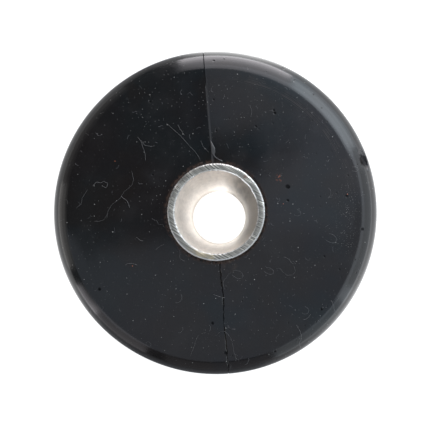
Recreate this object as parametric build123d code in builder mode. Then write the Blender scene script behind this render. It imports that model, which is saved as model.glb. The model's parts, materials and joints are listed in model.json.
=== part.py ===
"""Rubber-jacketed fishing magnet that pulls all round its side.

A steel tube runs through the middle and takes an eye bolt or a rope. Ring magnets and steel pole rings
are stacked on a sleeve round the tube, each magnet facing its neighbours like pole to like pole. Two end
caps, a disc spring and two circlips hold the stack on the tube, and a moulded rubber jacket covers it all.

Frame: +Z runs along the bore and the origin is the centre of the lower end of the tube. The jacket's
mould parted on the plane X = 0. All sizes are in millimetres.
"""

import os

from build123d import *

# ---- Driving dimensions ----

jacket_diameter = 69.0
jacket_corner = 6.0  # radius of the two rounded rims
jacket_side = 3.0  # rubber over the side of the core
jacket_end = 6.0  # rubber over the flat of each end cap
parting_width = 0.25  # groove that the mould's halves leave
parting_depth = 0.15
parting_overrun = 0.5  # how far the groove's cutter reaches past the rubber

tube_diameter = 20.0
tube_wall = 1.5
tube_proud = 0.5  # how far each tube end stands out of the rubber
tube_outer_chamfer = 0.3
tube_inner_chamfer = 0.2

magnet_count = 4
magnet_height = 9.0
magnet_chamfer = 0.5
pole_height = 3.0
pole_chamfer = 0.3
band_wall = 2.0  # non-magnetic band round each magnet's rim
sleeve_wall = 2.5  # keeps the magnets off the steel tube

cap_height = 4.0
cap_chamfer = 1.5
key_width = 3.0  # ring groove in the cap's outer face that the rubber grips
key_depth = 1.5
key_inset = 5.5  # middle of that groove, in from the cap's rim

seal_height = 1.7  # O-ring as squeezed in its gland
gland_height = 2.2
gland_depth = 1.4

washer_height = 1.0
washer_width = 3.9
spring_thickness = 1.5
spring_cone = 0.8  # height of the disc spring's cone as clamped
spring_margin = 4.0  # bare cap between the spring and the key groove

clip_height = 1.2
clip_width = 2.6
clip_groove_depth = 0.5
clip_groove_play = 0.05  # the groove is this much wider than the clip on its slack side
clip_gap = 4.0
clip_lug_radius = 2.0
clip_hole_radius = 1.0
clip_lug_angle = 18.0  # each lug's place, either side of the gap's middle
clip_gap_middle = -90  # direction that the gap faces, in degrees from +X

tube_clearance = 0.05  # radial, round the tube
spring_clearance = 0.2  # radial, round the tube
stack_clearance = 0.1  # radial, between sleeve, magnet and band
seal_clearance = 0.02  # radial, each side of the O-ring
clip_clearance = 0.02  # radial, between a circlip and the floor of its groove

# ---- Radii ----

jacket_radius = jacket_diameter / 2
core_radius = jacket_radius - jacket_side
tube_radius = tube_diameter / 2
bore_radius = tube_radius - tube_wall
tube_fit_radius = tube_radius + tube_clearance
sleeve_radius = tube_fit_radius + sleeve_wall
stack_inner_radius = sleeve_radius + stack_clearance
band_inner_radius = core_radius - band_wall
magnet_radius = band_inner_radius - stack_clearance
key_radius = core_radius - key_inset
washer_radius = tube_fit_radius + washer_width
spring_inner_radius = tube_radius + spring_clearance
spring_outer_radius = key_radius - key_width / 2 - spring_margin
clip_groove_radius = tube_radius - clip_groove_depth
clip_radius = clip_groove_radius + clip_width

# ---- Levels, from the lower end of the tube upwards ----

jacket_bottom = tube_proud
core_bottom = jacket_bottom + jacket_end
lower_washer_bottom = core_bottom - washer_height
lower_clip_bottom = lower_washer_bottom - clip_height
stack_bottom = core_bottom + cap_height
stack_pitch = pole_height + magnet_height
stack_top = stack_bottom + magnet_count * stack_pitch + pole_height
core_top = stack_top + cap_height
spring_top = core_top + spring_thickness + spring_cone
upper_washer_top = spring_top + washer_height
jacket_top = core_top + jacket_end
tube_top = jacket_top + tube_proud


def spring_surface(radius):
    """Level of the disc spring's upper side at a radius."""
    share_in = (spring_outer_radius - radius) / (spring_outer_radius - spring_inner_radius)
    return core_top + spring_thickness + spring_cone * share_in


def save(builder, name):
    """Labels a finished piece and writes it to its own STEP file."""
    builder.part.label = name
    export_step(builder.part, f"parts/{name}.step")


def ring(inner, outer, bottom, height, edge=0.0):
    """A flat ring about the bore, with its four edges chamfered if edge isn't 0."""
    with BuildPart() as piece:
        with BuildSketch(Plane.XY.offset(bottom)):
            Circle(outer)
            Circle(inner, mode=Mode.SUBTRACT)
        extrude(amount=height)
        if edge:
            chamfer(piece.edges().filter_by(GeomType.CIRCLE), length=edge)
    return piece


def key_ring(outer_face, depth_direction):
    """The ring of rubber that fills an end cap's key groove."""
    level = min(outer_face, outer_face + depth_direction * key_depth)
    return ring(key_radius - key_width / 2, key_radius + key_width / 2, level, key_depth)


def end_cap(bottom, outer_face, depth_direction):
    """An end cap: a disc with a key groove in its outer face and an O-ring gland in its bore."""
    gland_bottom = bottom + (cap_height - gland_height) / 2
    with BuildPart() as cap:
        with BuildSketch(Plane.XY.offset(bottom)):
            Circle(core_radius)
            Circle(tube_fit_radius, mode=Mode.SUBTRACT)
        extrude(amount=cap_height)
        rim = cap.edges().filter_by_position(Axis.Z, outer_face, outer_face).sort_by(SortBy.RADIUS)[-1]
        chamfer(rim, length=cap_chamfer)
        with BuildSketch(Plane.XY.offset(gland_bottom)):
            Circle(tube_radius + gland_depth)
        extrude(amount=gland_height, mode=Mode.SUBTRACT)
        add(key_ring(outer_face, depth_direction).part, mode=Mode.SUBTRACT)
    return cap


def o_ring(cap_bottom):
    """A rubber ring squeezed between the tube and the floor of an end cap's gland."""
    radial_half = gland_depth / 2 - seal_clearance
    with BuildPart() as seal:
        with BuildSketch(Plane.XZ):
            with Locations((tube_radius + gland_depth / 2, cap_bottom + cap_height / 2)):
                Ellipse(radial_half, seal_height / 2)
        revolve(axis=Axis.Z)
    return seal


def circlip(bottom):
    """An external retaining ring with two drilled lugs beside its gap, which faces -Y."""
    lug_places = PolarLocations(
        clip_groove_radius + clip_lug_radius,
        count=2,
        start_angle=clip_gap_middle - clip_lug_angle,
        angular_range=2 * clip_lug_angle,
        endpoint=True,
    )
    with BuildPart() as clip:
        with BuildSketch(Plane.XY.offset(bottom)):
            Circle(clip_radius)
            with Locations(lug_places.local_locations):
                Circle(clip_lug_radius)
            Circle(clip_groove_radius + clip_clearance, mode=Mode.SUBTRACT)
            with Locations((0, -clip_radius)):
                Rectangle(clip_gap, 2 * clip_radius, mode=Mode.SUBTRACT)
            with Locations(lug_places.local_locations):
                Circle(clip_hole_radius, mode=Mode.SUBTRACT)
        extrude(amount=clip_height)
    return clip


os.makedirs("parts", exist_ok=True)

# ---- Through tube, with a groove for each circlip ----

with BuildPart() as through_tube:
    with BuildSketch(Plane.XY):
        Circle(tube_radius)
        Circle(bore_radius, mode=Mode.SUBTRACT)
    extrude(amount=tube_top)
    end_edges = through_tube.edges().filter_by(GeomType.CIRCLE).group_by(SortBy.RADIUS)
    chamfer(end_edges[0], length=tube_inner_chamfer)
    outer_edges = through_tube.faces().sort_by(SortBy.AREA)[-1].edges().filter_by(GeomType.CIRCLE)
    chamfer(outer_edges, length=tube_outer_chamfer)
    # The slack side of each groove is the one that the stack doesn't push the clip against.
    groove_height = clip_height + clip_groove_play
    for groove_bottom in (lower_clip_bottom, upper_washer_top - clip_groove_play):
        with BuildSketch(Plane.XY.offset(groove_bottom)):
            Circle(tube_radius)
            Circle(clip_groove_radius, mode=Mode.SUBTRACT)
        extrude(amount=groove_height, mode=Mode.SUBTRACT)

save(through_tube, "through_tube")

# ---- Core: sleeve, magnets in their bands, pole rings ----

save(ring(tube_fit_radius, sleeve_radius, stack_bottom, stack_top - stack_bottom), "magnet_sleeve")

for n in range(magnet_count + 1):
    pole_bottom = stack_bottom + n * stack_pitch
    pole = ring(stack_inner_radius, core_radius, pole_bottom, pole_height, pole_chamfer)
    save(pole, f"pole_ring_{n + 1}")

for n in range(magnet_count):
    magnet_bottom = stack_bottom + n * stack_pitch + pole_height
    magnet = ring(stack_inner_radius, magnet_radius, magnet_bottom, magnet_height, magnet_chamfer)
    band = ring(band_inner_radius, core_radius, magnet_bottom, magnet_height)
    save(magnet, f"ring_magnet_{n + 1}")
    save(band, f"guard_band_{n + 1}")

# ---- End caps and their O-rings ----

save(end_cap(core_bottom, core_bottom, 1), "lower_end_cap")
save(end_cap(stack_top, core_top, -1), "upper_end_cap")
save(o_ring(core_bottom), "lower_o_ring")
save(o_ring(stack_top), "upper_o_ring")

# ---- Clamping hardware: washers, disc spring and circlips ----

save(ring(tube_fit_radius, washer_radius, lower_washer_bottom, washer_height), "lower_washer")
save(ring(tube_fit_radius, washer_radius, spring_top, washer_height), "upper_washer")

with BuildPart() as disc_spring:
    with BuildSketch(Plane.XZ):
        with BuildLine():
            Polyline(
                (spring_outer_radius, core_top),
                (spring_outer_radius, core_top + spring_thickness),
                (spring_inner_radius, spring_top),
                (spring_inner_radius, spring_top - spring_thickness),
                close=True,
            )
        make_face()
    revolve(axis=Axis.Z)

save(disc_spring, "disc_spring")

lower_circlip = circlip(lower_clip_bottom)
upper_circlip = circlip(upper_washer_top)
save(lower_circlip, "lower_circlip")
save(upper_circlip, "upper_circlip")

# ---- Rubber jacket, moulded round the core ----

with BuildPart() as rubber_jacket:
    with BuildSketch(Plane.XY.offset(jacket_bottom)):
        Circle(jacket_radius)
    extrude(amount=jacket_top - jacket_bottom)
    fillet(rubber_jacket.edges().filter_by(GeomType.CIRCLE), radius=jacket_corner)

    # The space that the tube, washers, end caps, core and disc spring take up.
    with BuildSketch(Plane.XZ):
        with BuildLine():
            Polyline(
                (0, 0),
                (tube_radius, 0),
                (tube_radius, lower_washer_bottom),
                (washer_radius, lower_washer_bottom),
                (washer_radius, core_bottom),
                (core_radius - cap_chamfer, core_bottom),
                (core_radius, core_bottom + cap_chamfer),
                (core_radius, core_top - cap_chamfer),
                (core_radius - cap_chamfer, core_top),
                (spring_outer_radius, core_top),
                (spring_outer_radius, core_top + spring_thickness),
                (washer_radius, spring_surface(washer_radius)),
                (washer_radius, upper_washer_top),
                (tube_radius, upper_washer_top),
                (tube_radius, tube_top),
                (0, tube_top),
                close=True,
            )
        make_face()
    revolve(axis=Axis.Z, mode=Mode.SUBTRACT)
    add([lower_circlip.part, upper_circlip.part], mode=Mode.SUBTRACT)

    # Rubber fills the end caps' key grooves.
    add([key_ring(core_bottom, 1).part, key_ring(core_top, -1).part])

    # The parting groove runs over both ends and down both sides, on the plane X = 0.
    jacket_height = jacket_top - jacket_bottom
    jacket_middle = (0, (jacket_top + jacket_bottom) / 2)
    with BuildSketch(Plane.YZ):
        with Locations(jacket_middle):
            Rectangle(jacket_diameter + 2 * parting_overrun, jacket_height + 2 * parting_overrun)
            RectangleRounded(
                jacket_diameter - 2 * parting_depth,
                jacket_height - 2 * parting_depth,
                jacket_corner - parting_depth,
                mode=Mode.SUBTRACT,
            )
    extrude(amount=parting_width / 2, both=True, mode=Mode.SUBTRACT)

save(rubber_jacket, "rubber_jacket")
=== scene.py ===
"""A rubber-jacketed fishing magnet standing on its end, seen straight down its bore.

The rubber jacket and the steel tube are modelled here. The magnets, rings and clamping parts inside keep
their own shapes and get their finishes here. Everything is in metres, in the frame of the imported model.
"""

import json
import math
import random

import bpy
from mathutils import Matrix, Vector, noise


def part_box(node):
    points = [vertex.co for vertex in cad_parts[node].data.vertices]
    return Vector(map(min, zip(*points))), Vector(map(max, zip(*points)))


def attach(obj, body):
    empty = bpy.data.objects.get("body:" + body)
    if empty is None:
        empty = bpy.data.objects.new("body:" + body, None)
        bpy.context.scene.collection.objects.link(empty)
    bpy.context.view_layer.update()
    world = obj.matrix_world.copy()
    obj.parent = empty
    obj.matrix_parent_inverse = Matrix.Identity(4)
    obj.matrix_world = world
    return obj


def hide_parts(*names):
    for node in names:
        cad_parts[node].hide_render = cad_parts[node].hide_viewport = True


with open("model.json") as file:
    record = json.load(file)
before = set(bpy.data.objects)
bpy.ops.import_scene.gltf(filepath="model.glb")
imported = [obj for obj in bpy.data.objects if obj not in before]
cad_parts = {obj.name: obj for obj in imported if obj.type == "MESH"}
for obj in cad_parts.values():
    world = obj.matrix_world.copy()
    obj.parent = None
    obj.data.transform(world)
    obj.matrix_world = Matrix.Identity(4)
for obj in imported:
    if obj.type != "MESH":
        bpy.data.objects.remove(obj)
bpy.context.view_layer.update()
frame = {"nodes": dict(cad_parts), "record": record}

MM = 0.001
FULL_TURN = 2 * math.pi

# ---- Sizes taken from the frame ----

jacket_low, jacket_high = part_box("rubber_jacket")
tube_low, tube_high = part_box("through_tube")
core_low, core_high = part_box("lower_end_cap")[0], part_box("upper_end_cap")[1]
lower_washer_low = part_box("lower_washer")[0]
upper_washer_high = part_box("upper_washer")[1]
spring_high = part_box("disc_spring")[1]
lower_clip_low, lower_clip_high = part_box("lower_circlip")
upper_clip_low, upper_clip_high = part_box("upper_circlip")

jacket_radius = jacket_high.x
jacket_top, jacket_bottom = jacket_high.z, jacket_low.z
jacket_middle = (jacket_top + jacket_bottom) / 2
jacket_half_height = (jacket_top - jacket_bottom) / 2
tube_radius = tube_high.x
tube_top, tube_bottom = tube_high.z, tube_low.z
core_radius = core_high.x
core_top, core_bottom = core_high.z, core_low.z
washer_radius = upper_washer_high.x
spring_radius = spring_high.x
clip_reach = upper_clip_high.x * 1.05
bore_mount = next(m for m in frame["record"]["mounts"] if m["name"] == "through_bore")
bore_radius = bore_mount["dims"]["r_mm"] * MM

# ---- The view's own axes, which the lint and the lights are laid out in ----

view_roll = math.radians(-4.45)
view_right = Vector((math.cos(view_roll), math.sin(view_roll), 0))
view_up = Vector((-math.sin(view_roll), math.cos(view_roll), 0))


def on_view(across, up, level=0.0):
    """The point at a place in the view's axes and at a level."""
    return across * view_right + up * view_up + Vector((0, 0, level))


# ---- Sizes of the jacket's details ----

jacket_corner = 6.0 * MM
jacket_lip = 0.25 * MM  # rounding where the rubber meets the tube
cap_chamfer = 1.5 * MM
spring_thickness = 1.5 * MM
round_steps = 192
rim_segments = 14
end_ring_cuts = 54
side_ring_cuts = 40

parting_half_width = 0.09 * MM
parting_depth = 0.16 * MM
parting_lip = 0.05 * MM  # the right half's edge stands up where the line is tight
parting_lip_width = 0.2 * MM
crack_half_width = 0.25 * MM
crack_depth = 0.26 * MM
crack_wander = 0.30 * MM
half_fall = 0.14 * MM  # the left half falls away from the line by this much
half_fall_width = 4.0 * MM
half_mismatch = 0.22 * MM  # the right half of the mould is this much shallower, and the left this much deeper
skin_shrink = 0.06 * MM
skin_shift = -0.143 * MM * view_right + 0.171 * MM * view_up  # the skin sits this far off the tube's axis
nick_angle = math.radians(15.2)
nick_rise = math.radians(46)  # how far up the rim's rounding
nick_depth = 0.34 * MM
nick_size = Vector((1.55 * MM, 1.8 * MM, 1.55 * MM))
nick_surround = 3.2 * MM
seam_fill = 0.8  # share of the groove's depth that is lost where it is pressed shut
crack_edge_drop = 0.06 * MM
crack_edge_lift = 0.10 * MM  # on the right half
crack_dirt = 0.8
dish_radius = 26 * MM  # each end is dished and uneven out to here, and less so over the next stretch
dish_fade = 7 * MM
dish_depth = 0.03 * MM
smear_place = (1.9 * MM, -10.6 * MM)
flakes_place = (12.9 * MM, 7.0 * MM)  # in the view's axes
# Band near the rim's start where fine rings are painted lighter: painted highlight
highlit_rings_inner, highlit_rings_outer = 26.5 * MM, 29.2 * MM
highlit_rings_fade = (0.9 * MM, 0.8 * MM)

# ---- Sizes of the tube's details ----

tube_steps = 288
tube_outer_edge = 0.28 * MM
tube_inner_edge = 0.2 * MM
clip_groove_depth = 0.5 * MM
weld_angle = math.radians(38)
weld_spread = math.radians(12)
weld_height = 0.12 * MM
highlit_rings_angle = math.radians(42)  # where fine rings on the end are painted lighter, a painted highlight
dust_angle = math.radians(-7)
tarnish_and_shade_angle = math.radians(3)  # side of the bore painted darker: tarnish and painted shade
burr_start, burr_end = math.radians(14), math.radians(88)
burr_width = 0.24 * MM
edge_raggedness = 0.05 * MM
rust_spot_angle = math.radians(46)
rust_spot_radius = 9.35 * MM
saw_centre = (55 * MM, 75 * MM)  # the saw's arcs run round this
yellow_angle = math.radians(-112)


# ---- Modelling helpers ----


def begin():
    """Leaves edit mode, if it is on, and deselects everything."""
    if bpy.context.object and bpy.context.object.mode != "OBJECT":
        bpy.ops.object.mode_set(mode="OBJECT")
    bpy.ops.object.select_all(action="DESELECT")


def pick(piece, test, kind="VERT"):
    """In edit mode, selects just the vertices, edges or faces whose middle passes a test."""
    bpy.ops.mesh.select_mode(type=kind)
    bpy.ops.mesh.select_all(action="DESELECT")
    bpy.ops.object.mode_set(mode="OBJECT")
    mesh = piece.data
    if kind == "VERT":
        for vertex in mesh.vertices:
            vertex.select = test(vertex.co)
    elif kind == "EDGE":
        for edge in mesh.edges:
            ends = [mesh.vertices[i].co for i in edge.vertices]
            edge.select = test((ends[0] + ends[1]) / 2)
    else:
        for face in mesh.polygons:
            face.select = test(face.center)
    bpy.ops.object.mode_set(mode="EDIT")


def drawn_outline(name, points):
    """A new piece that is one closed flat face in the XZ plane, extruded point by point round its outline."""
    begin()
    first = Vector((points[0][0], 0, points[0][1]))
    bpy.ops.mesh.primitive_plane_add(size=MM, location=first)
    piece = bpy.context.object
    piece.name = piece.data.name = name
    bpy.ops.object.transform_apply(location=True, rotation=True, scale=True)
    bpy.ops.object.mode_set(mode="EDIT")
    bpy.ops.mesh.select_mode(type="VERT")
    bpy.ops.mesh.select_all(action="SELECT")
    bpy.ops.mesh.merge(type="CENTER")
    last = points[0]
    for point in points[1:]:
        step = (point[0] - last[0], 0, point[1] - last[1])
        bpy.ops.mesh.extrude_region_move(TRANSFORM_OT_translate={"value": step})
        last = point
    bpy.ops.mesh.select_all(action="SELECT")
    bpy.ops.mesh.edge_face_add()
    return piece


def round_corners(piece, corners, radius, segments):
    """Rounds the outline's corners that are at the given places."""
    places = [Vector((x, 0, z)) for x, z in corners]
    pick(piece, lambda co: any((co - place).length < 1e-6 for place in places))
    bpy.ops.mesh.bevel(offset=radius, segments=segments, affect="VERTICES")


def open_outline():
    """Takes the outline's face away and leaves its edges."""
    bpy.ops.mesh.select_mode(type="FACE")
    bpy.ops.mesh.select_all(action="SELECT")
    bpy.ops.mesh.delete(type="ONLY_FACE")


def cut_edges(piece, test, cuts):
    """Divides the open outline's edges whose middle passes a test."""
    pick(piece, test, "EDGE")
    bpy.ops.mesh.subdivide(number_cuts=cuts)


def spin_outline(steps):
    """Turns the open outline about the bore into a closed skin."""
    bpy.ops.mesh.select_mode(type="VERT")
    bpy.ops.mesh.select_all(action="SELECT")
    bpy.ops.mesh.spin(steps=steps, angle=FULL_TURN, center=(0, 0, 0), axis=(0, 0, 1))
    bpy.ops.mesh.select_all(action="SELECT")
    bpy.ops.mesh.remove_doubles(threshold=1e-6)
    bpy.ops.mesh.normals_make_consistent(inside=False)


def settle(piece, node, crease=30):
    """Smooths a finished piece and ties it to the frame."""
    begin()
    piece.select_set(True)
    bpy.context.view_layer.objects.active = piece
    bpy.ops.object.shade_smooth_by_angle(angle=math.radians(crease))
    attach(piece, "root")
    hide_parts(node)


# ---- Rubber jacket ----


def skin_offset(co):
    """How far a point is from the jacket's outer skin, ignoring the parting groove."""
    out = math.hypot(co.x, co.y) - (jacket_radius - jacket_corner)
    along = abs(co.z - jacket_middle) - (jacket_half_height - jacket_corner)
    if out > 0 and along > 0:
        return abs(math.hypot(out, along) - jacket_corner)
    return min(abs(out - jacket_corner), abs(along - jacket_corner))


def on_skin(co):
    """True on the jacket's outer skin."""
    return skin_offset(co) < 0.02 * MM


def skin_normal(co):
    """Direction straight out of the jacket's skin near a point."""
    out = max(0.0, math.hypot(co.x, co.y) - (jacket_radius - jacket_corner))
    along = max(0.0, abs(co.z - jacket_middle) - (jacket_half_height - jacket_corner))
    radial = Vector((co.x, co.y, 0)).normalized()
    return (radial * out + Vector((0, 0, math.copysign(along, co.z - jacket_middle)))).normalized()


def spring_level(radius):
    """Level of the disc spring's upper side at a radius."""
    rim_level = core_top + spring_thickness
    share_in = (spring_radius - radius) / (spring_radius - tube_radius)
    return rim_level + (spring_high.z - rim_level) * share_in


def jacket_outline():
    """Half section of the jacket: its skin first, then the space that it leaves for the core."""
    return [
        (tube_radius, jacket_top),
        (jacket_radius, jacket_top),
        (jacket_radius, jacket_bottom),
        (tube_radius, jacket_bottom),
        (tube_radius, lower_clip_low.z),
        (clip_reach, lower_clip_low.z),
        (clip_reach, lower_washer_low.z),
        (washer_radius, lower_washer_low.z),
        (washer_radius, core_bottom),
        (core_radius - cap_chamfer, core_bottom),
        (core_radius, core_bottom + cap_chamfer),
        (core_radius, core_top - cap_chamfer),
        (core_radius - cap_chamfer, core_top),
        (spring_radius, core_top),
        (spring_radius, core_top + spring_thickness),
        (washer_radius, spring_level(washer_radius)),
        (washer_radius, upper_washer_high.z),
        (clip_reach, upper_washer_high.z),
        (clip_reach, upper_clip_high.z),
        (tube_radius, upper_clip_high.z),
    ]


def wander(y):
    """Sideways drift of the open crack at a place along it."""
    slow = noise.noise(Vector((y / (5 * MM), 3.1, 0)))
    quick = noise.noise(Vector((y / (0.9 * MM), 8.7, 0)))
    return crack_wander * (slow + 0.6 * quick)


def crack_openness(co):
    """1 where the crack beside the tube is widest, fading to 0 at the rim and on the other side."""
    if co.y > -tube_radius or co.z < jacket_top - 2 * MM:
        return 0.0
    travelled = (-co.y - tube_radius) / (jacket_radius - tube_radius)
    return max(0.0, (1 - 0.75 * travelled) * (0.7 + 0.9 * noise.noise(Vector((co.y / (1.7 * MM), 0, 5.5)))))


def tightness(co):
    """How far the upper end's line is pressed shut: fully behind the tube but at the rim, less in front."""
    if co.z < jacket_middle:
        return 0.0
    flat_edge = jacket_radius - jacket_corner
    if co.y < 0:
        travelled = (-co.y - tube_radius) / (flat_edge - tube_radius)
        return min(0.4, max(0.0, 0.05 + 0.4 * travelled))
    return min(1.0, max(0.0, (flat_edge + 1.5 * MM - co.y) / (5 * MM)))


def cut_parting_line(jacket):
    """The groove between the mould's halves: tight on one side of the tube, cracked open on the other."""
    fade = parting_half_width
    for place in (
        -parting_half_width - fade,
        -parting_half_width,
        parting_half_width,
        parting_half_width + parting_lip_width,
        parting_half_width + parting_lip_width + fade,
    ):
        pick(jacket, lambda co: on_skin(co) and abs(co.x) < 3 * MM, "FACE")
        bpy.ops.mesh.bisect(plane_co=(place, 0, 0), plane_no=(1, 0, 0), threshold=1e-6)
    pick(jacket, lambda co: on_skin(co) and abs(co.x) < 1e-6)
    bpy.ops.transform.shrink_fatten(value=-parting_depth)
    bpy.ops.object.mode_set(mode="OBJECT")
    dirt = jacket.data.attributes.new("seam_dirt", "FLOAT", "POINT")
    for number, vertex in enumerate(jacket.data.vertices):
        co = vertex.co
        if abs(co.x) > 1.5 * parting_half_width or skin_offset(co) > 2 * parting_depth:
            continue
        in_floor = abs(co.x) < 1e-6
        on_right = co.x > 1e-6
        shut = tightness(co)
        if in_floor:
            co += skin_normal(co) * seam_fill * shut * parting_depth
        elif on_right and co.y > 0:
            co.z += shut * parting_lip
        openness = crack_openness(co)
        if openness > 0:
            widen = 1 + (crack_half_width / parting_half_width - 1) * openness
            co.x = co.x * widen + wander(co.y)
            co.z -= (crack_depth - parting_depth if in_floor else crack_edge_drop) * openness
            co.z += crack_edge_lift * openness * on_right
            dirt.data[number].value = openness * crack_dirt * (on_right or in_floor)


def shape_ends(jacket):
    """One mould half's rubber falls away from the line, and each end is very slightly dished and uneven."""
    for vertex in jacket.data.vertices:
        co = vertex.co
        if not skin_offset(co) < 0.6 * MM or abs(co.z - jacket_middle) < jacket_half_height - jacket_corner:
            continue
        upward = 1 if co.z > jacket_middle else -1
        edge = max(0.0, 1 - max(0.0, math.hypot(co.x, co.y) - dish_radius) / dish_fade)
        fall = min(1.0, max(0.0, -co.x - parting_half_width) / half_fall_width)
        uneven = dish_depth * noise.noise(co / (11 * MM))
        co.z -= upward * edge * (half_fall * fall * (2 - fall) + uneven + dish_depth)


def mismatch_halves(jacket):
    """Makes the skin's right half slightly shallower than its left, and sets both a little off the tube."""
    for vertex in jacket.data.vertices:
        co = vertex.co
        radius = math.hypot(co.x, co.y)
        if skin_offset(co) < 0.7 * MM and radius > tube_radius:
            share = (radius - tube_radius) / (jacket_radius - tube_radius)
            co.x -= half_mismatch * share * abs(co.x) / radius
            co += share * (skin_shift - skin_shrink * Vector((co.x, co.y, 0)).normalized())


def nick_place():
    """Where the upper rim has been knocked."""
    out = jacket_radius - jacket_corner * (1 - math.cos(nick_rise))
    level = jacket_top - jacket_corner * (1 - math.sin(nick_rise))
    return Vector((out * math.cos(nick_angle), out * math.sin(nick_angle), level))


def refine_near_nick(jacket):
    """Makes the skin's faces smaller round the nick, and puts the new points on the rounding."""
    hit = nick_place()
    pick(jacket, lambda co: on_skin(co) and (co - hit).length < nick_surround, "FACE")
    bpy.ops.mesh.subdivide(number_cuts=3)
    bpy.ops.object.mode_set(mode="OBJECT")
    for vertex in jacket.data.vertices:
        if (vertex.co - hit).length < 1.3 * nick_surround and on_skin(vertex.co):
            vertex.co += skin_normal(vertex.co) * skin_offset(vertex.co)
    bpy.ops.object.mode_set(mode="EDIT")


def nick_rim(jacket):
    """A small dent knocked into the upper rim."""
    hit = nick_place()
    inward = -skin_normal(hit)
    for vertex in jacket.data.vertices:
        apart = vertex.co - hit
        apart.rotate(Matrix.Rotation(-nick_angle, 3, "Z"))
        distance = Vector((apart.x / nick_size.x, apart.y / nick_size.y, apart.z / nick_size.z)).length
        distance = max(0.0, distance + 0.7 * noise.noise(vertex.co / (0.9 * MM)))
        if distance < 1 and skin_offset(vertex.co) < 0.7 * MM:
            torn = 1 + 0.9 * noise.noise(vertex.co / (0.5 * MM))
            vertex.co += inward * nick_depth * torn * (1 - distance**5)


def drawn_strand(name, path, thickness, paleness_and_painted_light):
    """A thin rounded strand pushed through places along a path, each place with its own width."""
    places = [place for place, _ in path]
    steps = [after - before for before, after in zip(places, places[1:])]
    headings = [math.atan2(step.y, step.x) for step in steps]
    begin()
    bpy.ops.mesh.primitive_cube_add(size=thickness, location=places[0])
    strand = bpy.context.object
    strand.name = strand.data.name = name
    bpy.ops.object.transform_apply(location=True, rotation=True, scale=True)
    bpy.ops.object.mode_set(mode="EDIT")
    bpy.ops.mesh.select_all(action="SELECT")
    bpy.ops.transform.resize(value=(1, path[0][1] / thickness, 1), center_override=places[0])
    turn_selected(headings[0], places[0])
    front = places[0] + steps[0].normalized() * thickness / 2
    pick(strand, lambda co: (co - front).length < thickness / 4, "FACE")
    for number, step in enumerate(steps):
        place, width = path[number + 1]
        bpy.ops.mesh.extrude_region_move(TRANSFORM_OT_translate={"value": step})
        wider = width / path[number][1]
        bpy.ops.transform.resize(value=(wider, wider, 1), center_override=place)
        if number + 1 < len(steps):
            turn_selected(math.remainder(headings[number + 1] - headings[number], FULL_TURN), place)
    begin()
    strand.select_set(True)
    bpy.context.view_layer.objects.active = strand
    rounding = strand.modifiers.new("rounding", "SUBSURF")
    rounding.levels = 2
    bpy.ops.object.modifier_apply(modifier=rounding.name)
    pale = strand.data.attributes.new("paleness_and_painted_light", "FLOAT", "POINT")
    pale.data.foreach_set("value", [paleness_and_painted_light] * len(pale.data))
    return strand


def turn_selected(angle, place):
    """Turns what is selected about an upright line through a place, anticlockwise seen from above."""
    bpy.ops.transform.rotate(value=-angle, orient_axis="Z", center_override=place)


def join_to(piece, strand):
    """Joins a strand to the piece that it stands on."""
    begin()
    strand.select_set(True)
    piece.select_set(True)
    bpy.context.view_layer.objects.active = piece
    bpy.ops.object.join()


def build_flash():
    """The torn sliver of flash that stands on the parting line and curls round to the tube."""
    sliver = [
        (-0.02, 14.7, -0.02, 0.10),
        (0.08, 14.3, 0.16, 0.36),
        (0.24, 13.8, 0.40, 0.70),
        (0.38, 13.2, 0.46, 0.95),
        (0.42, 12.6, 0.36, 0.80),
        (0.36, 12.0, 0.18, 0.44),
        (0.50, 11.5, 0.12, 0.20),
        (0.85, 11.1, 0.12, 0.18),
        (1.35, 10.7, 0.12, 0.22),
        (2.10, 10.3, 0.06, 0.26),
    ]
    path = [(Vector((x * MM, y * MM, jacket_top + lift * MM)), width * MM) for x, y, lift, width in sliver]
    # The flash is the same black rubber; its paleness of 0.2 paints it lighter grey, a painted highlight
    # where it catches light.
    return drawn_strand("flash", path, 0.09 * MM, 0.2)


# Pits in the upper end, each with its place in the view's axes and its radius, in millimetres
known_pits = [(14.6, 5.2, 0.55), (14.6, 2.4, 0.34), (12.0, 20.3, 0.36), (11.8, 20.9, 0.30), (22.0, -9.0, 0.3)]

# Breathy patches and a dried smear on the upper end: place in the view's axes, radius and strength
hazy_places = [
    (-12.2, 7.6, 4.2, 0.55),
    (-21.0, 22.2, 0.9, 0.20),
    (-19.4, 21.2, 1.1, 0.28),
    (-17.6, 21.2, 1.2, 0.33),
    (-15.8, 20.6, 1.2, 0.36),
    (-14.2, 19.6, 1.1, 0.36),
    (-12.6, 18.6, 1.2, 0.36),
    (-11.0, 17.5, 1.2, 0.36),
    (-9.6, 16.0, 1.3, 0.36),
    (-9.2, 14.2, 1.4, 0.33),
    (-10.6, 12.4, 1.5, 0.28),
    (-12.0, 10.8, 1.4, 0.24),
    (17.2, 19.9, 3.4, 0.50),
    (20.4, 17.0, 2.4, 0.45),
]

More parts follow.
